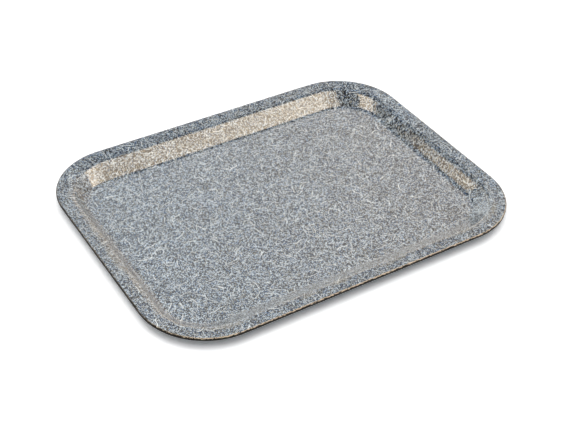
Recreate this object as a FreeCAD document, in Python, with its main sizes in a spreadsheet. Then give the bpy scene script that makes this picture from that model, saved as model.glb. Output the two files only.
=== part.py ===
"""Serving tray, moulded as one piece of even thickness.

A flat floor with round corners meets four sloping walls, gentler along the long sides than at the
ends. The walls carry a rim that rises a little towards its outer edge, where it is thickest.

The origin is on the underside, in the middle of the floor. X runs along the tray, Y across it and
Z up. All sizes are in millimetres.
"""
import FreeCAD, Part

import os

import Sketcher

# Driving dimensions. Rim widths, wall runs and edge radii are those of the upper face, and a
# corner where two faces meet is measured before it is rounded.
SIZES = {
    "tray_length": 457.2,
    "tray_width": 355.6,
    "tray_height": 20.5,
    "corner_radius": 79.0,
    "shell_thickness": 3.0,
    "edge_thickness": 4.0,
    "rim_width_long": 18.0,
    "rim_width_short": 19.6,
    "rim_rise": 2.2,
    "shoulder_corner_radius": 61.0,
    "wall_run_long": 23.0,
    "wall_run_short": 10.5,
    "floor_corner_radius": 45.0,
    "shoulder_radius": 11.0,
    "foot_radius": 8.0,
    "edge_radius": 1.3,
    "lower_edge_radius": 1.3,
}

TOUCH = 0.001


def size(alias):
    """The expression that reads one driving dimension."""
    return "Sizes." + alias


# Heights above the underside, as expressions.
EDGE_TOP = size("tray_height")
EDGE_UNDERSIDE = "({} - {})".format(EDGE_TOP, size("edge_thickness"))
SHOULDER_TOP = "({} - {})".format(EDGE_TOP, size("rim_rise"))
SHOULDER_UNDERSIDE = "({} - {})".format(SHOULDER_TOP, size("shell_thickness"))
FLOOR_TOP = size("shell_thickness")
FLOOR_UNDERSIDE = "0"


def wall_slope(side):
    """The angle between the floor and the wall on the long or the short sides."""
    depth = "({} - {})".format(SHOULDER_TOP, FLOOR_TOP)
    return "atan({} / {})".format(depth, size("wall_run_" + side))


def inner_offset(side, height):
    """How far the wall's upper face is from the tray's edge, at this height."""
    return "({} + ({} - {}) / tan({}))".format(
        size("rim_width_" + side), SHOULDER_TOP, height, wall_slope(side))


def outer_offset(side, height):
    """How far the wall's underside is from the tray's edge: the shell's thickness from the upper face."""
    return "({} - {} / sin({}))".format(
        inner_offset(side, height), size("shell_thickness"), wall_slope(side))


def section(offset_long, offset_short):
    """Length and width of a level section with these offsets from the tray's edge."""
    length = "{} - 2 * {}".format(size("tray_length"), offset_short)
    width = "{} - 2 * {}".format(size("tray_width"), offset_long)
    return length, width


def outer_corner_radius(height):
    """Corner radius of the underside, level with this height of the upper face's own corner."""
    radius = "({s} + ({f} - {s}) * ({top} - {z}) / ({top} - {floor}))".format(
        s=size("shoulder_corner_radius"), f=size("floor_corner_radius"),
        top=SHOULDER_TOP, z=height, floor=FLOOR_TOP)
    spread = "({t} / sin({a}) + {t} / sin({b})) / 2".format(
        t=size("shell_thickness"), a=wall_slope("long"), b=wall_slope("short"))
    return "{} + {}".format(radius, spread)


def origin_plane(body, role):
    """One of the body's own origin planes."""
    return next(item for item in body.Origin.OriginFeatures if item.Role == role)


def rounded_rectangle(body, name, height, sides, radius):
    """Sketch a rounded rectangle about the centre, at this height; every size is an expression."""
    length, width = sides
    sketch = body.newObject("Sketcher::SketchObject", name)
    sketch.AttachmentSupport = (origin_plane(body, "XY_Plane"), [""])
    sketch.MapMode = "FlatFace"
    sketch.setExpression("AttachmentOffset.Base.z", height)

    half_x = float(sketch.evalExpression(length)) / 2
    half_y = float(sketch.evalExpression(width)) / 2
    corner = float(sketch.evalExpression(radius))
    centre_x, centre_y = half_x - corner, half_y - corner
    up = FreeCAD.Vector(0, 0, 1)
    turn = FreeCAD.Units.Quantity("90 deg").getValueAs("rad").Value
    # Counter-clockwise from the near long side: a straight side, then the corner at its end.
    starts = [(-centre_x, -half_y), (half_x, -centre_y), (centre_x, half_y), (-half_x, centre_y)]
    ends = [(centre_x, -half_y), (half_x, centre_y), (-centre_x, half_y), (-half_x, -centre_y)]
    centres = [(centre_x, -centre_y), (centre_x, centre_y), (-centre_x, centre_y), (-centre_x, -centre_y)]
    for quarter in range(4):
        sketch.addGeometry(Part.LineSegment(
            FreeCAD.Vector(*starts[quarter], 0), FreeCAD.Vector(*ends[quarter], 0)))
        circle = Part.Circle(FreeCAD.Vector(*centres[quarter], 0), up, corner)
        sketch.addGeometry(Part.ArcOfCircle(circle, (quarter - 1) * turn, quarter * turn))

    for item in range(8):
        sketch.addConstraint(Sketcher.Constraint("Tangent", item, 2, (item + 1) % 8, 1))
    for side, direction in ((0, "Horizontal"), (2, "Vertical"), (4, "Horizontal"), (6, "Vertical")):
        sketch.addConstraint(Sketcher.Constraint(direction, side))
    for arc in (3, 5, 7):
        sketch.addConstraint(Sketcher.Constraint("Equal", 1, arc))
    sketch.addConstraint(Sketcher.Constraint("Symmetric", 0, 1, 4, 1, -1, 1))

    drivers = (
        ("length", Sketcher.Constraint("DistanceX", 6, 2, 2, 1, 2 * half_x), length),
        ("width", Sketcher.Constraint("DistanceY", 0, 2, 4, 1, 2 * half_y), width),
        ("radius", Sketcher.Constraint("Radius", 1, corner), radius),
    )
    for label, constraint, expression in drivers:
        index = sketch.addConstraint(constraint)
        sketch.renameConstraint(index, label)
        sketch.setExpression("Constraints." + label, expression)
    return sketch


def loft(body, kind, name, first, last):
    """A ruled loft between two sections, added to the body or taken out of it."""
    feature = body.newObject(kind, name)
    feature.Profile = first
    feature.Sections = [last]
    feature.Ruled = True
    return feature


def edges_along(feature, sketch):
    """Names of the feature's edges that run along the sketch."""
    names = []
    for number, edge in enumerate(feature.Shape.Edges, 1):
        middle = edge.valueAt((edge.FirstParameter + edge.LastParameter) / 2)
        if sketch.Shape.distToShape(Part.Vertex(middle))[0] < TOUCH:
            names.append("Edge{}".format(number))
    return names


def fillet(body, name, base, edges, radius):
    """Round these edges of the base feature."""
    feature = body.newObject("PartDesign::Fillet", name)
    feature.Base = (base, edges)
    feature.setExpression("Radius", radius)
    body.Document.recompute()
    return feature


def make_sizes(document):
    """Put the driving dimensions in a spreadsheet, one alias to each."""
    sheet = document.addObject("Spreadsheet::Sheet", "Sizes")
    for row, (alias, value) in enumerate(SIZES.items(), 1):
        sheet.set("A{}".format(row), alias.replace("_", " "))
        sheet.set("B{}".format(row), str(value))
        sheet.setAlias("B{}".format(row), alias)
    document.recompute()


def make_well(body):
    """The underside of the walls and the floor, still solid inside."""
    well_top = rounded_rectangle(
        body, "WellTop", SHOULDER_UNDERSIDE,
        section(outer_offset("long", SHOULDER_UNDERSIDE), outer_offset("short", SHOULDER_UNDERSIDE)),
        outer_corner_radius(SHOULDER_UNDERSIDE))
    well_foot = rounded_rectangle(
        body, "WellFoot", FLOOR_UNDERSIDE,
        section(outer_offset("long", FLOOR_UNDERSIDE), outer_offset("short", FLOOR_UNDERSIDE)),
        outer_corner_radius(FLOOR_UNDERSIDE))
    loft(body, "PartDesign::AdditiveLoft", "Well", well_top, well_foot)
    body.Document.recompute()
    return well_top, well_foot


def make_rim(body, well_top):
    """The rim: a slope from the shoulder out to the edge underneath, and the edge's upright band."""
    outline = section("0", "0")
    edge_foot = rounded_rectangle(body, "EdgeFoot", EDGE_UNDERSIDE, outline, size("corner_radius"))
    loft(body, "PartDesign::AdditiveLoft", "RimSlope", well_top, edge_foot)

    band = body.newObject("PartDesign::Pad", "EdgeBand")
    band.Profile = edge_foot
    band.setExpression("Length", size("edge_thickness"))
    body.Document.recompute()
    return edge_foot


def make_dish(body):
    """Take out the shallow dish that leaves the rim's upper face, from the edge down to the shoulder."""
    edge_top = rounded_rectangle(body, "EdgeTop", EDGE_TOP, section("0", "0"), size("corner_radius"))
    shoulder_line = rounded_rectangle(
        body, "ShoulderLine", SHOULDER_TOP, section(size("rim_width_long"), size("rim_width_short")),
        size("shoulder_corner_radius"))
    loft(body, "PartDesign::SubtractiveLoft", "Dish", edge_top, shoulder_line)
    body.Document.recompute()
    return edge_top, shoulder_line


def make_hollow(body, shoulder_line):
    """Take out the inside of the tray, down to the upper faces of the walls and the floor."""
    foot_line = rounded_rectangle(
        body, "FootLine", FLOOR_TOP,
        section(inner_offset("long", FLOOR_TOP), inner_offset("short", FLOOR_TOP)),
        size("floor_corner_radius"))
    hollow = loft(body, "PartDesign::SubtractiveLoft", "Hollow", shoulder_line, foot_line)
    body.Document.recompute()
    return hollow, foot_line


def make_tray(document):
    """The whole tray as one body."""
    body = document.addObject("PartDesign::Body", "Tray")
    body.Label = "tray"
    well_top, well_foot = make_well(body)
    edge_foot = make_rim(body, well_top)
    edge_top, shoulder_line = make_dish(body)
    step, foot_line = make_hollow(body, shoulder_line)

    under_shoulder = "{} - {}".format(size("shoulder_radius"), size("shell_thickness"))
    under_foot = "{} + {}".format(size("foot_radius"), size("shell_thickness"))
    for name, line, radius in (
            ("ShoulderFillet", shoulder_line, size("shoulder_radius")),
            ("FootFillet", foot_line, size("foot_radius")),
            ("UnderShoulderFillet", well_top, under_shoulder),
            ("UnderFootFillet", well_foot, under_foot),
            ("EdgeFillet", edge_top, size("edge_radius")),
            ("LowerEdgeFillet", edge_foot, size("lower_edge_radius"))):
        step = fillet(body, name, step, edges_along(step, line), radius)
    return body


def check(document):
    """Stop where a feature or a sub-part has failed."""
    for item in document.Objects:
        if {"Invalid", "Error"} & set(item.State):
            raise RuntimeError("{} has failed: {}".format(item.Name, item.State))
        if item.TypeId == "Sketcher::SketchObject" and not item.FullyConstrained:
            raise RuntimeError("{} isn't fully constrained".format(item.Name))


def export(bodies):
    """Write each sub-part's shape to a file with the sub-part's name."""
    os.makedirs("parts", exist_ok=True)
    for body in bodies:
        if body.Shape.isNull() or not body.Shape.isValid() or len(body.Shape.Solids) != 1:
            raise RuntimeError("{} isn't one valid solid".format(body.Label))
        body.Shape.exportStep("parts/{}.step".format(body.Label))
        box = body.Shape.optimalBoundingBox()
        print("{}: {:.1f} x {:.1f} x {:.1f} mm, {:.1f} cm3".format(
            body.Label, box.XLength, box.YLength, box.ZLength, body.Shape.Volume / 1000))


def main():
    document = FreeCAD.newDocument("ServingTray")
    make_sizes(document)
    tray = make_tray(document)
    document.recompute()
    check(document)
    export([tray])


main()
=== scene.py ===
"""Serving tray: a moulded, fibre-filled tray on a pale floor under soft studio light."""
import math

import bpy
from bpy.props import FloatProperty, FloatVectorProperty, IntProperty, PointerProperty
from mathutils import Matrix, Vector


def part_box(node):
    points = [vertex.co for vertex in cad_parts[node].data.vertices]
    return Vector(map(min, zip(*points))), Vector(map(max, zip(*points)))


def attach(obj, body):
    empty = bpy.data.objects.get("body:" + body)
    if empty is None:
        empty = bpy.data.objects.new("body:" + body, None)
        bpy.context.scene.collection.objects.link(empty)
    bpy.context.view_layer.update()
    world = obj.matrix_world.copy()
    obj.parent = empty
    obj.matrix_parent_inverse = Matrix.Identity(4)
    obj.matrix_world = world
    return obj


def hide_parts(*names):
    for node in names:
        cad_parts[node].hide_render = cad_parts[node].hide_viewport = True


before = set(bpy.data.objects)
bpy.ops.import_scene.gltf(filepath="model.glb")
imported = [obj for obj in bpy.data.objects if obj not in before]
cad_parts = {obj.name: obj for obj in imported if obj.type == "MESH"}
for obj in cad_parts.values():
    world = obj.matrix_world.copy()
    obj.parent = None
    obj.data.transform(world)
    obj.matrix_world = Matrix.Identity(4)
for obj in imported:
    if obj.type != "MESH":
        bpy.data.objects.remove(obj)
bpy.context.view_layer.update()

bl_info = {
    "name": "Serving Tray",
    "version": (1, 0, 0),
    "blender": (4, 5, 0),
    "location": "View3D > Sidebar > Tray",
    "description": "Builds a moulded serving tray with a pressed-fibre finish, and its studio",
    "category": "Add Mesh",
}

TRAY_LOW, TRAY_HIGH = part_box("tray")

# Corners of the shell's section, in order from the floor's upper face round towards its underside.
# The mesh stores its place along them: 1 to 1.9 is the rounding of the shoulder, and 1.9 to 2 the
# straight run from there to the edge.
FOOT, SHOULDER, EDGE, LOWER_EDGE = range(4)


def length(name, description, default):
    """A size in metres, shown with the scene's unit of length."""
    return FloatProperty(name=name, description=description, default=default,
                         min=0.0, unit="LENGTH", precision=5)


def coordinate(name, description, default):
    """A coordinate in metres, of either sign."""
    return FloatProperty(name=name, description=description, default=default, unit="LENGTH", precision=4)


def angle(name, description, degrees):
    """An angle, given in degrees."""
    return FloatProperty(name=name, description=description, default=math.radians(degrees), unit="ROTATION")


def colour(name, description, default):
    """A linear colour."""
    return FloatVectorProperty(name=name, description=description, default=default,
                               subtype="COLOR", size=3, min=0.0, max=1.0)


def number(name, description, default):
    """A plain number."""
    return FloatProperty(name=name, description=description, default=default, precision=4)


def steps(name, description, default, fewest):
    """A number of faces."""
    return IntProperty(name=name, description=description, default=default, min=fewest)


class TrayShape(bpy.types.PropertyGroup):
    """Sizes of the moulding, the same as the solid's."""
    tray_length: length("Length", "Outer length of the rim", TRAY_HIGH.x - TRAY_LOW.x)
    tray_width: length("Width", "Outer width of the rim", TRAY_HIGH.y - TRAY_LOW.y)
    tray_height: length("Height", "Underside of the floor to the rim's edge, before rounding", 0.0205)
    corner_radius: length("Corner radius", "Radius of the rim's outer corners", 0.079)
    shoulder_corner: length("Shoulder corner", "Corner radius of the shoulder line", 0.061)
    floor_corner: length("Floor corner", "Corner radius of the foot line", 0.045)
    shell: length("Shell", "Thickness of the moulding", 0.003)
    edge_thickness: length("Edge thickness", "Thickness of the rim at its edge", 0.004)
    rim_long: length("Rim, long sides", "Width of the rim along the long sides", 0.018)
    rim_short: length("Rim, short sides", "Width of the rim along the short sides", 0.0196)
    rim_rise: length("Rim rise", "Rise of the rim's upper face from shoulder to edge", 0.0022)
    run_long: length("Wall run, long sides", "Level run of the long walls", 0.023)
    run_short: length("Wall run, short sides", "Level run of the short walls", 0.0105)
    shoulder_radius: length("Shoulder radius", "Rounding between rim and wall", 0.011)
    foot_radius: length("Foot radius", "Rounding between wall and floor", 0.008)
    edge_radius: length("Edge radius", "Rounding of the rim's upper edge", 0.0013)
    lower_edge_radius: length("Lower edge radius", "Rounding of the rim's lower edge", 0.0013)
    corner_steps: steps("Corner steps", "Faces round each corner", 40, 4)
    side_steps: steps("Side steps", "Faces along each straight side", 6, 1)
    round_steps: steps("Round steps", "Faces across each rounding", 9, 2)


class TrayFinish(bpy.types.PropertyGroup):
    """Colours and gloss of the pressed laminate."""
    slate: colour("Slate", "Darkest flecks of the ground", (0.008, 0.012, 0.02))
    steel: colour("Steel", "Blue-grey ground", (0.06, 0.135, 0.27))
    ash: colour("Ash", "Paler, warmer ground", (0.24, 0.215, 0.155))
    chalk: colour("Chalk", "Palest flecks of the ground", (0.52, 0.59, 0.64))
    fibre: colour("Fibre", "Pale fibres near the surface", (0.82, 0.84, 0.82))
    # Cream-grey streaks along the shoulder, more at the near left.
    shoulder_streaks: colour("Pale streaks", "Cream-grey of the rubbed shoulder", (0.42, 0.38, 0.30))
    # Near-black at the rim's edge: partly the core's own dark brown, partly painted shade of the edge face.
    core: colour("Core and shade", "Dark brown core, bare along the rim's edge", (0.012, 0.010, 0.008))
    # Tan line at the rim's edge: partly the skin's own tan edge, partly a painted highlight of the edge's
    # rounding.
    tan_edge_and_highlight: colour("Edge line", "Tan line between skin and core", (0.60, 0.48, 0.34))
    roughness: number("Roughness", "Roughness under the clear skin", 0.42)
    skin_roughness: number("Skin roughness", "Roughness of the clear skin", 0.09)


class TrayStudio(bpy.types.PropertyGroup):
    """Floor, lights and camera."""
    camera_azimuth: angle("Azimuth", "Camera's turn round the tray", -32.127)
    camera_elevation: angle("Elevation", "Camera's height above level", 38.412)
    camera_roll: angle("Roll", "Camera's tilt to the side", 1.24)
    camera_distance: length("Distance", "Camera to its aim point", 1.2852)
    camera_lens: number("Lens", "Focal length in millimetres on a 36 mm sensor", 72.95)
    aim_x: coordinate("Aim X", "Aim point along the tray", -0.0188)
    aim_y: coordinate("Aim Y", "Aim point across the tray", -0.0343)
    key_level: number("Key level", "Radiance of the softbox that lights the tray", 6.5)
    front_level: number("Front level", "Radiance of the softbox seen in the far wall", 5.6)
    side_level: number("Side level", "Radiance of the softbox seen along the right wall", 3.3)
    corner_level: number("Corner level", "Radiance of the softbox seen where the right wall turns", 6.0)
    warm_tint: colour("Warm tint", "Colour of the softboxes that the walls reflect", (1.0, 0.82, 0.6))
    cool_side: colour("Cool side", "Backdrop's colour in reflections, behind the tray", (0.92, 0.97, 1.0))
    warm_side: colour("Warm side", "Backdrop's colour in reflections, at the right", (1.0, 0.88, 0.76))
    room: number("Room", "Even light from all round", 0.5)


class Socket:
    """One output of a node. Arithmetic on it adds Math nodes to its tree."""

    def __init__(self, graph, socket):
        self.graph = graph
        self.socket = socket

    def __add__(self, other):
        return self.graph.math("ADD", self, other)

    def __sub__(self, other):
        return self.graph.math("SUBTRACT", self, other)

    def __rsub__(self, other):
        return self.graph.math("SUBTRACT", other, self)

    def __mul__(self, other):
        return self.graph.math("MULTIPLY", self, other)

    def __truediv__(self, other):
        return self.graph.math("DIVIDE", self, other)

    def __rtruediv__(self, other):
        return self.graph.math("DIVIDE", other, self)

    def __abs__(self):
        return self.graph.math("ABSOLUTE", self)

    __radd__ = __add__
    __rmul__ = __mul__


class Graph:
    """A node tree that is written as expressions."""

    def __init__(self, tree):
        self.tree = tree

    def node(self, kind, settings=None, inputs=None, output=0):
        """Add a node, set its settings, then set or link its inputs, by name or by number.

        The setting "choices" says how many values an Index Switch chooses from. Gives the output of
        this name or number, or a list of outputs for a tuple of them.
        """
        node = self.tree.nodes.new(kind)
        for name, value in (settings or {}).items():
            if name == "choices":
                while len(node.index_switch_items) < value:
                    node.index_switch_items.new()
            else:
                setattr(node, name, value)
        for name, value in (inputs or {}).items():
            self.feed(node.inputs[name], value)
        if isinstance(output, tuple):
            return [Socket(self, node.outputs[name]) for name in output]
        return Socket(self, node.outputs[output]) if node.outputs else None

    def feed(self, socket, value):
        """Link a socket, or set its own value. A colour needs no alpha."""
        if isinstance(value, Socket):
            self.tree.links.new(value.socket, socket)
        elif socket.type == "RGBA":
            socket.default_value = (*value[:3], 1.0)
        else:
            socket.default_value = value

    def math(self, operation, *values):
        """A Math node of up to three values."""
        return self.node("ShaderNodeMath", {"operation": operation}, dict(enumerate(values)))

    def vector(self, operation, *values):
        """A Vector Math node of two vectors."""
        return self.node("ShaderNodeVectorMath", {"operation": operation}, dict(enumerate(values)))

    def scaled(self, vector, factor):
        """The vector times a number."""
        return self.node("ShaderNodeVectorMath", {"operation": "SCALE"}, {0: vector, "Scale": factor})

    def parts(self, vector):
        """The three components of a vector."""
        return self.node("ShaderNodeSeparateXYZ", inputs={0: vector}, output=("X", "Y", "Z"))

    def blend(self, share, first, second):
        """Mix two colours."""
        return self.node("ShaderNodeMix", {"data_type": "RGBA"}, {0: share, 6: first, 7: second}, output=2)

    def rise(self, value, start, end):
        """Go smoothly from 0 at start to 1 at end, which may be the smaller number."""
        return self.node("ShaderNodeMapRange", {"interpolation_type": "SMOOTHSTEP"}, {
            "Value": value, "From Min": start, "From Max": end})

    def switch(self, kind, index, values):
        """Choose one of several values by an index."""
        return self.node("GeometryNodeIndexSwitch", {"data_type": kind, "choices": len(values)},
                         dict(enumerate((index, *values))))


def shape_inputs(tree, shape):
    """Give the tree one named input for each size of the shape, and return them by property name."""
    names = {}
    for name, prop in TrayShape.bl_rna.properties.items():
        if name in ("rna_type", "name"):
            continue
        kind = "NodeSocketInt" if prop.type == "INT" else "NodeSocketFloat"
        socket = tree.interface.new_socket(prop.name, in_out="INPUT", socket_type=kind)
        socket.default_value = getattr(shape, name)
        names[name] = prop.name
    tree.interface.new_socket("Material", in_out="INPUT", socket_type="NodeSocketMaterial")
    names["material"] = "Material"
    graph = Graph(tree)
    sockets = graph.node("NodeGroupInput", output=tuple(names.values()))
    return graph, dict(zip(names, sockets))


# Level stretch of floor that the section takes in beyond the foot line, in foot radii.
FLOOR_MARGIN = 1.2
# How far in from its ends a straight run has its two rings of its own, as a share of the run.
RUN_MARGIN = 0.06


def section_corners(graph, size, rim, run):
    """Corners of the shell's section on one side, from the floor's upper face round to its underside.

    Each is the distance in from the tray's edge, and the height.
    """
    zero = size["shell"] * 0.0
    shoulder = size["tray_height"] - size["rim_rise"]
    slope = graph.math("ARCTAN2", shoulder - size["shell"], run)
    sine = graph.math("SINE", slope)
    run_per_drop = graph.math("COSINE", slope) / sine
    shell_run = size["shell"] / sine
    margin = size["foot_radius"] * FLOOR_MARGIN
    return [
        (rim + run + margin, size["shell"]),
        (rim + run, size["shell"]),
        (rim, shoulder),
        (zero, size["tray_height"]),
        (zero, size["tray_height"] - size["edge_thickness"]),
        (rim + size["shell"] * run_per_drop - shell_run, shoulder - size["shell"]),
        (rim + shoulder * run_per_drop - shell_run, zero),
        (rim + run + margin, zero),
    ]


def rounded_section(graph, corners, radii, round_steps, place):
    """Offset and height at this place along a section with its corners rounded.

    The place counts the section's points, and a fraction of it lies between two of them.
    """
    own = graph.node("GeometryNodeInputIndex")
    places = [graph.node("ShaderNodeCombineXYZ", inputs={"X": x, "Z": z}) for x, z in corners]
    line = graph.node("GeometryNodeMeshLine", inputs={"Count": len(corners)})
    line = graph.node("GeometryNodeSetPosition", inputs={
        "Geometry": line, "Position": graph.switch("VECTOR", own, places)})
    curve = graph.node("GeometryNodeMeshToCurve", inputs={"Mesh": line})
    curve = graph.node("GeometryNodeFilletCurve", {"mode": "POLY"}, {
        "Curve": curve, "Count": round_steps, "Radius": graph.switch("FLOAT", own, radii)})
    before = graph.math("FLOOR", place)
    position = graph.node("GeometryNodeInputPosition")
    ends = [graph.node("GeometryNodeSampleIndex", {"data_type": "FLOAT_VECTOR", "clamp": True}, {
        "Geometry": curve, "Value": position, "Index": index}) for index in (before, before + 1.0)]
    step = graph.scaled(graph.vector("SUBTRACT", ends[1], ends[0]), place - before)
    offset, _, height = graph.parts(graph.vector("ADD", ends[0], step))
    return offset, height


def shell_tree(shape):
    """Geometry nodes that bend a tube of faces into the tray's shell.

    The tube's rings become the points of the section, and the points of each ring go round the tray.
    """
    tree = bpy.data.node_groups.new("tray_shell", "GeometryNodeTree")
    tree.interface.new_socket("Geometry", in_out="OUTPUT", socket_type="NodeSocketGeometry")
    graph, size = shape_inputs(tree, shape)

    zero = size["shell"] * 0.0
    radii = [
        zero, size["foot_radius"], size["shoulder_radius"], size["edge_radius"], size["lower_edge_radius"],
        size["shoulder_radius"] - size["shell"], size["foot_radius"] + size["shell"], zero,
    ]
    # Each rounding has its own rings, and each straight run two more near its ends, which keep the
    # smooth shading of the roundings off it.
    per_rounding = size["round_steps"] + 1
    per_corner = size["round_steps"] + 3
    per_side = size["corner_steps"] + size["side_steps"]
    around = per_side * 4
    rings = per_corner * (len(radii) - 2) + 2

    index = graph.node("GeometryNodeInputIndex")
    ring = graph.math("FLOOR", (index + 0.5) / around)
    corner = graph.math("FLOOR", (ring - 0.5) / per_corner)
    beyond = ring - 1.0 - corner * per_corner - size["round_steps"]
    on_run = graph.math("MAXIMUM", beyond, 0.0)
    on_run = on_run * (RUN_MARGIN + (on_run - 1.0) * (0.5 - RUN_MARGIN * 1.5))
    place = 1.0 + corner * per_rounding + size["round_steps"] + graph.math("MINIMUM", beyond, 0.0) + on_run
    station = index - ring * around
    quarter = graph.math("FLOOR", (station + 0.5) / per_side)
    step = station - quarter * per_side
    turned = graph.math("MINIMUM", step / size["corner_steps"], 1.0)
    along = graph.math("MAXIMUM", (step - size["corner_steps"]) / size["side_steps"], 0.0)

    (long_offset, long_height), (short_offset, short_height) = (
        rounded_section(graph, section_corners(graph, size, size["rim_" + side], size["run_" + side]),
                        radii, size["round_steps"], place)
        for side in ("long", "short"))

    # The corner radius goes with the mean offset of the two kinds of side.
    mean = (long_offset + short_offset) / 2
    rim_mean = (size["rim_long"] + size["rim_short"]) / 2
    run_mean = (size["run_long"] + size["run_short"]) / 2
    rim_share = graph.math("MINIMUM", mean / rim_mean, 1.0)
    run_share = graph.math("MAXIMUM", (mean - rim_mean) / run_mean, 0.0)
    radius = size["corner_radius"] + (size["shoulder_corner"] - size["corner_radius"]) * rim_share
    radius = radius + (size["floor_corner"] - size["shoulder_corner"]) * run_share

    # Each corner's arc is followed by the straight side after it.
    bearing = (quarter + turned) * (math.pi / 2)
    diagonal = (quarter + 0.5) * (math.pi / 2)
    sides = []
    for wave, reach in (("COSINE", size["tray_length"] / 2 - short_offset),
                        ("SINE", size["tray_width"] / 2 - long_offset)):
        here = graph.math("SIGN", graph.math(wave, diagonal))
        there = graph.math("SIGN", graph.math(wave, diagonal + math.pi / 2))
        sides.append((reach - radius) * (here + (there - here) * along)
                     + radius * graph.math(wave, bearing))
    facing_end = graph.math("POWER", graph.math("COSINE", bearing), 2.0)
    height = long_height + (short_height - long_height) * facing_end

    shell = graph.node("GeometryNodeMeshCylinder", {"fill_type": "NGON"}, {
        "Vertices": around, "Side Segments": rings - 1})
    shell = graph.node("GeometryNodeSetPosition", inputs={
        "Geometry": shell,
        "Position": graph.node("ShaderNodeCombineXYZ", inputs={"X": sides[0], "Y": sides[1], "Z": height})})
    shell = graph.node("GeometryNodeStoreNamedAttribute", {"data_type": "FLOAT", "domain": "POINT"}, {
        "Geometry": shell, "Name": "section", "Value": (place - 1.0) / per_rounding})
    shell = graph.node("GeometryNodeSetShadeSmooth", inputs={"Geometry": shell})
    shell = graph.node("GeometryNodeRealizeInstances", inputs={"Geometry": shell})
    shell = graph.node("GeometryNodeSetMaterial", inputs={"Geometry": shell, "Material": size["material"]})
    graph.node("NodeGroupOutput", inputs={"Geometry": shell})
    return tree


# Layers of pale fibres in the laminate: the spacing of the fibres, their length and their width,
# in millimetres, and how strongly they show.
FIBRE_LAYERS = (
    (15.0, 17.0, 0.75, 1.0),
    (12.0, 11.0, 0.65, 0.9),
    (10.0, 7.0, 0.6, 0.7),
)
# How far each layer's pattern is moved from the one before, in millimetres.
LAYER_SHIFT = 53.0, 91.0
# How strongly fibres bend, and how faint the faintest is.
FIBRE_BEND = 1.6
FIBRE_FAINTEST = 0.3
# The fibres and blots drift by up to this much, over waves of this spacing, in millimetres.
SWIRL_REACH = 26.0
SWIRL_SPACING = 28.0
# Patches of the ground from the finest up: their spacing in millimetres, and how much each counts
# in the ground's tone and in its warmth.
GRAIN, FLECK, BLOT, CLOUD = 0.8, 1.7, 5.0, 34.0
TONE_SHARES = 4.2, 0.2, 0.4, 0.8
TONE_ZERO = 3.1
WARMTH_SHARES = 3.4, 0.3, 0.5, 1.8
WARMTH_ZERO = 3.15
WALL_WARMTH = 1.1
# Where the ground turns from steel to ash by its warmth, and to slate and to chalk by its tone.
TO_ASH = -0.4, 0.6
TO_SLATE = 0.2, -0.35
TO_CHALK = 0.45, 1.0
# The underside shows another stretch of the same pattern, this far away in millimetres.
UNDERSIDE_SHIFT = 731.0, 397.0
# Stretches of the section over which a part of the finish comes in, or goes out again.
UNDERSIDE_IN = LOWER_EDGE + 0.9, LOWER_EDGE + 0.95
WALL_IN = FOOT + 0.5, FOOT + 0.9
WALL_OUT = SHOULDER + 0.5, SHOULDER + 0.2
STREAKED_IN = FOOT + 0.96, SHOULDER + 0.3
STREAKED_OUT = EDGE - 0.05, EDGE - 0.11
HANDLED_IN = EDGE - 0.14, EDGE - 0.1
SPECKLE_IN = EDGE - 0.01, EDGE + 0.15
TAN_EDGE_AND_HIGHLIGHT_IN = EDGE + 0.05, EDGE + 0.2
EDGE_OUT = LOWER_EDGE + 0.9, LOWER_EDGE + 0.6
# Pale streaks run along the shoulder, because their noise counts the section this many times
# over, and the way round the tray in steps of this many millimetres.
STREAK_ACROSS = 40.0
STREAK_LENGTH = 14.0
# Spacing of that noise, and the stretch of it over which the pale streaks come in.
STREAK_SPACING = 2.6
STREAK_SHOWS = 0.42, 0.66
# The near left part has more of the pale streaks, by x / 2 + y in millimetres.
STREAKED_SIDE = 60.0, -60.0
# The near-black core, partly painted shade, lies bare from here on, and later by this much along the near
# side.
DARK_EDGE_FROM = EDGE + 0.15
DARK_EDGE_LATER = 0.3
NEAR_SIDE = -110.0, -170.0
# The rim's skin has lost this share of its gloss.
HANDLED_LOSS = 0.4
# Height of the relief that fibres and blots give the skin, in metres, and how strongly it shows.
RELIEF_HEIGHT = 0.00004
RELIEF_STRENGTH = 0.15
# The resin under the skin reflects little, and the skin as hard clear resin does.
RESIN_SPECULAR = 0.1
SKIN_IOR = 1.6


def noise(graph, where, spacing, detail, output="Fac"):
    """Smooth noise with this spacing, in millimetres."""
    return graph.node("ShaderNodeTexNoise", {"noise_dimensions": "3D"}, {
        "Vector": where, "Scale": 1.0 / spacing, "Detail": detail}, output=output)


def cells(graph, where, spacing):
    """A random colour for each small patch of this size, in millimetres."""
    return graph.node("ShaderNodeTexVoronoi", {"voronoi_dimensions": "2D"}, {
        "Vector": where, "Scale": 1.0 / spacing}, output="Color")


def fibres(graph, where, spacing, reach, width):
    """Curved fibres that lie all ways, one to each cell of this spacing; 1 on a fibre, 0 beside it."""
    spaced = graph.scaled(where, 1.0 / spacing)
    chance, middle = graph.node("ShaderNodeTexVoronoi", {"voronoi_dimensions": "2D"}, {
        "Vector": spaced, "Scale": 1.0}, output=("Color", "Position"))
    across, up, _ = graph.parts(graph.scaled(graph.vector("SUBTRACT", spaced, middle), spacing))
    turn, bend, strength = graph.parts(chance)
    turn = turn * (2 * math.pi)
    cosine, sine = graph.math("COSINE", turn), graph.math("SINE", turn)
    along = across * cosine + up * sine
    beside = up * cosine - across * sine
    beside = beside + (bend - 0.5) * along * along * (FIBRE_BEND / reach)
    ends = graph.rise(abs(along), reach / 2, reach / 4)
    body = graph.rise(abs(beside), width * 0.6, width * 0.2)
    return ends * body * (strength * (1.0 - FIBRE_FAINTEST) + FIBRE_FAINTEST)


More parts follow.
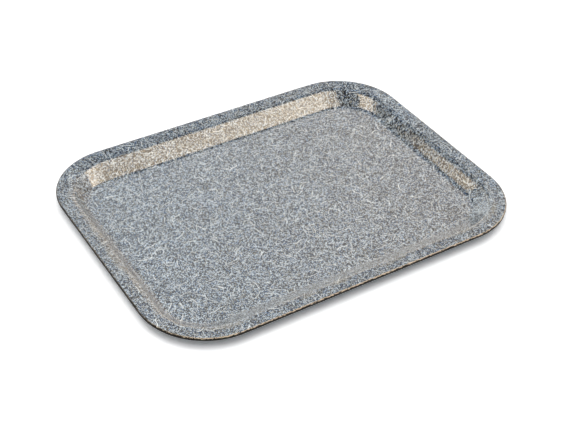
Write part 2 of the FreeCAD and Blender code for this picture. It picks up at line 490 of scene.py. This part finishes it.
def patches(graph, where, swirled):
    """Two random numbers for each of the ground's sizes of patch: one for tone and one for hue."""
    colours = (cells(graph, where, GRAIN), cells(graph, where, FLECK),
               noise(graph, swirled, BLOT, 1.0, "Color"), noise(graph, where, CLOUD, 2.0, "Color"))
    tones, hues, _ = zip(*(graph.parts(patch) for patch in colours))
    return tones, hues


def weighed(values, shares):
    """The sum of the values, each times its share."""
    return sum(value * share for value, share in zip(values, shares))


def laminate(finish):
    """Blue-grey ground with pale fibres under a clear skin, pale streaks at the shoulder, and at the edge a
    tan line and bare dark core, partly painted highlight and shade.
    """
    material = bpy.data.materials.new("tray_laminate")
    material.use_nodes = True
    graph = Graph(material.node_tree)
    section = graph.node("ShaderNodeAttribute", {"attribute_name": "section"}, output="Fac")
    underneath = graph.rise(section, *UNDERSIDE_IN)

    millimetres = graph.scaled(graph.node("ShaderNodeTexCoord", output="Object"), 1000.0)
    moved = graph.node("ShaderNodeCombineXYZ", inputs={
        axis: underneath * shift for axis, shift in zip("XY", UNDERSIDE_SHIFT)})
    where = graph.vector("ADD", millimetres, moved)
    drift = graph.vector("SUBTRACT", noise(graph, where, SWIRL_SPACING, 1.0, "Color"), (0.5, 0.5, 0.5))
    swirled = graph.vector("ADD", where, graph.scaled(drift, SWIRL_REACH))

    tones, hues = patches(graph, where, swirled)
    wall = graph.rise(section, *WALL_IN) * graph.rise(section, *WALL_OUT)
    tone = weighed(tones, TONE_SHARES) - TONE_ZERO
    warmth = weighed(hues, WARMTH_SHARES) + wall * WALL_WARMTH - WARMTH_ZERO

    pale = 0.0
    for layer, (spacing, reach, width, strength) in enumerate(FIBRE_LAYERS):
        shifted = graph.vector("ADD", swirled, (*(layer * shift for shift in LAYER_SHIFT), 0.0))
        pale = graph.math("MAXIMUM", pale, fibres(graph, shifted, spacing, reach, width) * strength)

    ground = graph.blend(graph.rise(warmth, *TO_ASH), finish.steel, finish.ash)
    ground = graph.blend(graph.rise(tone, *TO_SLATE), ground, finish.slate)
    ground = graph.blend(graph.rise(tone, *TO_CHALK), ground, finish.chalk)
    skin = graph.blend(pale, ground, finish.fibre)

    # Pale cream-grey streaks run along the shoulder, through which the fine grain still shows.
    grain, fleck, blot, _ = tones
    x, y, _ = graph.parts(millimetres)
    streaks = graph.node("ShaderNodeCombineXYZ", inputs={
        "X": section * STREAK_ACROSS, "Y": x / STREAK_LENGTH, "Z": y / STREAK_LENGTH})
    streaked = graph.rise(section, *STREAKED_IN) * graph.rise(section, *STREAKED_OUT)
    streaked = streaked * graph.rise(noise(graph, streaks, STREAK_SPACING, 2.0), *STREAK_SHOWS)
    streaked = streaked * graph.rise(x * 0.5 + y, *STREAKED_SIDE)
    skin = graph.blend(streaked * (grain * 0.4 + 0.3), skin, finish.shoulder_streaks)

    # Round the rim's edge the skin ends raggedly, in a tan line, partly a painted highlight of the
    # rounding, and the near-black core, partly painted shade, lies bare.
    speckle = (fleck + grain * 0.6 - 0.8) * graph.rise(section, *SPECKLE_IN)
    ragged = section + speckle * 0.5
    tan_edge_and_highlight_mask = graph.rise(ragged, *TAN_EDGE_AND_HIGHLIGHT_IN) * graph.rise(section, *EDGE_OUT)
    skin = graph.blend(tan_edge_and_highlight_mask, skin, finish.tan_edge_and_highlight)
    dark_edge_start = DARK_EDGE_FROM + graph.rise(y, *NEAR_SIDE) * DARK_EDGE_LATER
    # Where the near-black core shows, partly its own colour and partly painted shade, and the clear skin is
    # off.
    bare = graph.rise(ragged - dark_edge_start, 0.0, 0.1) * graph.rise(ragged, *EDGE_OUT)
    skin = graph.blend(bare, skin, finish.core)

    handled = graph.rise(section, *HANDLED_IN)
    relief = graph.node("ShaderNodeBump", inputs={
        "Strength": RELIEF_STRENGTH, "Distance": RELIEF_HEIGHT, "Height": pale + blot})
    bsdf = material.node_tree.nodes["Principled BSDF"]
    graph.feed(bsdf.inputs["Base Color"], skin)
    graph.feed(bsdf.inputs["Roughness"], finish.roughness)
    graph.feed(bsdf.inputs["Specular IOR Level"], RESIN_SPECULAR)
    graph.feed(bsdf.inputs["Coat IOR"], SKIN_IOR)
    graph.feed(bsdf.inputs["Coat Weight"], (1.0 - bare) * (1.0 - handled * HANDLED_LOSS))
    graph.feed(bsdf.inputs["Coat Roughness"], finish.skin_roughness)
    graph.feed(bsdf.inputs["Normal"], relief)
    return material


class TRAY_OT_make_shell(bpy.types.Operator):
    """Make the tray's shell and its finish"""
    bl_idname = "tray.make_shell"
    bl_label = "Make Tray"

    def execute(self, context):
        scene = context.scene
        tree = shell_tree(scene.tray_shape)
        holder = bpy.data.objects.new("shell_source", bpy.data.meshes.new("shell_source"))
        scene.collection.objects.link(holder)
        modifier = holder.modifiers.new("shell", "NODES")
        modifier.node_group = tree
        modifier[tree.interface.items_tree["Material"].identifier] = laminate(scene.tray_finish)
        context.view_layer.update()
        mesh = bpy.data.meshes.new_from_object(holder.evaluated_get(context.evaluated_depsgraph_get()))
        mesh.name = "tray_shell"
        bpy.data.objects.remove(holder)
        tray = bpy.data.objects.new("tray_shell", mesh)
        scene.collection.objects.link(tray)
        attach(tray, "root")
        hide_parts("tray")
        return {"FINISHED"}


def camera_axes(azimuth, elevation, roll):
    """The camera's right, up and back directions."""
    back = Vector((math.sin(azimuth) * math.cos(elevation),
                   -math.cos(azimuth) * math.cos(elevation), math.sin(elevation)))
    right = Vector((math.cos(azimuth), math.sin(azimuth), 0.0))
    up = back.cross(right)
    turned_right = right * math.cos(roll) + up * math.sin(roll)
    turned_up = up * math.cos(roll) - right * math.sin(roll)
    return turned_right, turned_up, back


def make_camera(scene, studio):
    """The camera, at the photograph's angle, aimed at a point level with the rim."""
    data = bpy.data.cameras.new("camera")
    data.sensor_width = 36.0
    data.lens = studio.camera_lens
    data.clip_start, data.clip_end = 0.05, 50.0
    camera = bpy.data.objects.new("camera", data)
    scene.collection.objects.link(camera)
    right, up, back = camera_axes(studio.camera_azimuth, studio.camera_elevation, studio.camera_roll)
    aim = Vector((studio.aim_x, studio.aim_y, scene.tray_shape.tray_height))
    turn = Matrix((right, up, back)).transposed()
    camera.matrix_world = Matrix.Translation(aim + back * studio.camera_distance) @ turn.to_4x4()
    scene.camera = camera


def lamp(scene, name, place, facing, level, tint=(1.0, 1.0, 1.0), mirrored=True, lean=0.0, oval=False):
    """A softbox of this radiance, turned by its lean about the way it faces.

    Only gloss shows it if it is mirrored. If not, it lights everything else.
    """
    centre, sides = place
    data = bpy.data.lights.new(name, "AREA")
    data.shape = "ELLIPSE" if oval else "RECTANGLE"
    data.size, data.size_y = sides
    area = data.size * data.size_y * (math.pi / 4 if oval else 1.0)
    data.energy = level * math.pi * area
    data.color = tint
    holder = bpy.data.objects.new(name, data)
    turn = facing.to_track_quat("-Z", "Y").to_matrix().to_4x4() @ Matrix.Rotation(lean, 4, "Z")
    holder.matrix_world = Matrix.Translation(centre) @ turn
    holder.visible_camera = False
    holder.visible_glossy = mirrored
    holder.visible_diffuse = not mirrored
    scene.collection.objects.link(holder)
    return data


def fade_across(light, start, end):
    """Let a lamp's level go from one share to another across its width."""
    light.use_nodes = True
    light.node_tree.nodes.clear()
    graph = Graph(light.node_tree)
    across, _, _ = graph.parts(graph.node("ShaderNodeNewGeometry", output="Parametric"))
    level = graph.node("ShaderNodeEmission", inputs={"Strength": start + across * (end - start)})
    graph.node("ShaderNodeOutputLight", inputs={"Surface": level})


# Centre of each softbox, and its two sides, in metres. The key one faces the tray, the front one
# hangs level and the last two stand upright: the side one leans over, and the corner one is oval.
KEY_PLACE = (-1.0, -1.6, 4.0), (2.5, 2.5)
FRONT_PLACE = (0.76, -0.465, 1.3), (1.18, 0.87)
SIDE_PLACE = (-1.6, 1.55, 1.1), (0.36, 1.7)
SIDE_LEAN = math.radians(19.0)
# Share of its level that a softbox has at one side and at the other.
FRONT_FADE = 0.65, 1.65
SIDE_FADE = 0.5, 1.4
CORNER_PLACE = (-1.6, 0.2, 1.75), (2.2, 2.2)
# The floor reaches this far from the tray, and lies this far under it so that the two don't merge.
FLOOR_REACH = 8.0
FLOOR_GAP = 0.0002
# How pale the floor is to the light, and to the camera, where it has to be white.
FLOOR_PALE = 0.85
FLOOR_SEEN = 1.3


def make_floor(scene):
    """A white floor that keeps the tray's shadow."""
    corners = [(x * FLOOR_REACH, y * FLOOR_REACH, 0.0) for x, y in ((-1, -1), (1, -1), (1, 1), (-1, 1))]
    mesh = bpy.data.meshes.new("floor")
    mesh.from_pydata(corners, [], [(0, 1, 2, 3)])
    floor = bpy.data.objects.new("floor", mesh)
    floor.location.z = -FLOOR_GAP
    scene.collection.objects.link(floor)
    material = bpy.data.materials.new("white_floor")
    material.use_nodes = True
    material.node_tree.nodes.clear()
    graph = Graph(material.node_tree)
    camera_ray = graph.node("ShaderNodeLightPath", output="Is Camera Ray")
    shade = graph.blend(camera_ray, (FLOOR_PALE,) * 3, (FLOOR_SEEN,) * 3)
    paper = graph.node("ShaderNodeBsdfDiffuse", inputs={"Color": shade})
    graph.node("ShaderNodeOutputMaterial", inputs={"Surface": paper})
    mesh.materials.append(material)


# The backdrop that gloss mirrors, by how far a direction points upwards, from 0 for level to 1 for
# straight up: its own level, what a brighter band and its foot add to that, and the dark elsewhere.
BACKDROP_LEVEL = 0.9
BACKDROP_OUT = 0.66, 0.8
BACKDROP_PEAK = 1.0
PEAK_IN = 0.44, 0.57
PEAK_OUT = 0.74, 0.68
BACKDROP_FOOT = 0.9
BACKDROP_FOOT_BELOW = 0.4, 0.3
DARK_LEVEL = 0.08
# It stands at the right and low down goes round all but the left, by how far a direction points to
# the right, from -1 to 1. Its colour turns from cool to warm on the way there.
RIGHT_IN = -0.1, 0.2
LOW_BELOW = 0.52, 0.4
LOW_IN = -0.62, -0.5
WARM_IN = 0.25, 0.6


def make_world(scene, studio):
    """White to the camera, an even grey room as light, and in gloss a backdrop with dark round it."""
    world = bpy.data.worlds.new("studio")
    world.use_nodes = True
    world.node_tree.nodes.clear()
    scene.world = world
    graph = Graph(world.node_tree)
    direction = graph.node("ShaderNodeTexCoord", output="Generated")
    rightward, _, upward = graph.parts(direction)
    camera_ray, glossy_ray = graph.node(
        "ShaderNodeLightPath", output=("Is Camera Ray", "Is Glossy Ray"))
    peak = graph.rise(upward, *PEAK_IN) * graph.rise(upward, *PEAK_OUT)
    level = BACKDROP_LEVEL - graph.rise(upward, *BACKDROP_OUT) * BACKDROP_LEVEL + peak * BACKDROP_PEAK
    level = level + graph.rise(upward, *BACKDROP_FOOT_BELOW) * BACKDROP_FOOT
    low = graph.rise(upward, *LOW_BELOW) * graph.rise(rightward, *LOW_IN)
    mirrored = DARK_LEVEL + level * graph.math("MAXIMUM", graph.rise(rightward, *RIGHT_IN), low)
    warm = graph.rise(rightward, *WARM_IN)
    strength = studio.room + glossy_ray * (mirrored - studio.room)
    strength = strength + camera_ray * (1.0 - strength)
    shade = graph.blend(glossy_ray, (1.0, 1.0, 1.0), graph.blend(warm, studio.cool_side, studio.warm_side))
    background = graph.node("ShaderNodeBackground", inputs={"Color": shade, "Strength": strength})
    graph.node("ShaderNodeOutputWorld", inputs={"Surface": background})


class TRAY_OT_make_studio(bpy.types.Operator):
    """Make the floor, the lights, the surroundings and the camera"""
    bl_idname = "tray.make_studio"
    bl_label = "Make Studio"

    def execute(self, context):
        scene = context.scene
        studio = scene.tray_studio
        make_floor(scene)
        make_world(scene, studio)
        warm = studio.warm_tint
        below, beside = Vector((0.0, 0.0, -1.0)), Vector((1.0, 0.0, 0.0))
        key_facing = -Vector(KEY_PLACE[0])
        lamp(scene, "softbox_key", KEY_PLACE, key_facing, studio.key_level, mirrored=False)
        front = lamp(scene, "softbox_front", FRONT_PLACE, below, studio.front_level, warm)
        fade_across(front, *FRONT_FADE)
        side = lamp(scene, "softbox_side", SIDE_PLACE, beside, studio.side_level, warm, lean=SIDE_LEAN)
        fade_across(side, *SIDE_FADE)
        lamp(scene, "softbox_corner", CORNER_PLACE, beside, studio.corner_level, warm, oval=True)
        make_camera(scene, studio)
        scene.view_settings.view_transform = "Standard"
        return {"FINISHED"}


class TRAY_PT_panel(bpy.types.Panel):
    """Lists the tray's sizes and colours, and the operators that make it"""
    bl_idname = "TRAY_PT_panel"
    bl_label = "Serving Tray"
    bl_space_type = "VIEW_3D"
    bl_region_type = "UI"
    bl_category = "Tray"

    def draw(self, context):
        for group in GROUPS:
            settings = getattr(context.scene, group)
            for name in settings.bl_rna.properties.keys():
                if name not in ("rna_type", "name"):
                    self.layout.prop(settings, name)
        for operator in (TRAY_OT_make_shell, TRAY_OT_make_studio):
            self.layout.operator(operator.bl_idname)


GROUPS = {"tray_shape": TrayShape, "tray_finish": TrayFinish, "tray_studio": TrayStudio}
CLASSES = (*GROUPS.values(), TRAY_OT_make_shell, TRAY_OT_make_studio, TRAY_PT_panel)


def register():
    for cls in CLASSES:
        bpy.utils.register_class(cls)
    for name, group in GROUPS.items():
        setattr(bpy.types.Scene, name, PointerProperty(type=group))


def unregister():
    for name in GROUPS:
        delattr(bpy.types.Scene, name)
    for cls in reversed(CLASSES):
        bpy.utils.unregister_class(cls)


def main():
    register()
    bpy.ops.tray.make_shell()
    bpy.ops.tray.make_studio()


if __name__ == "__main__":
    main()
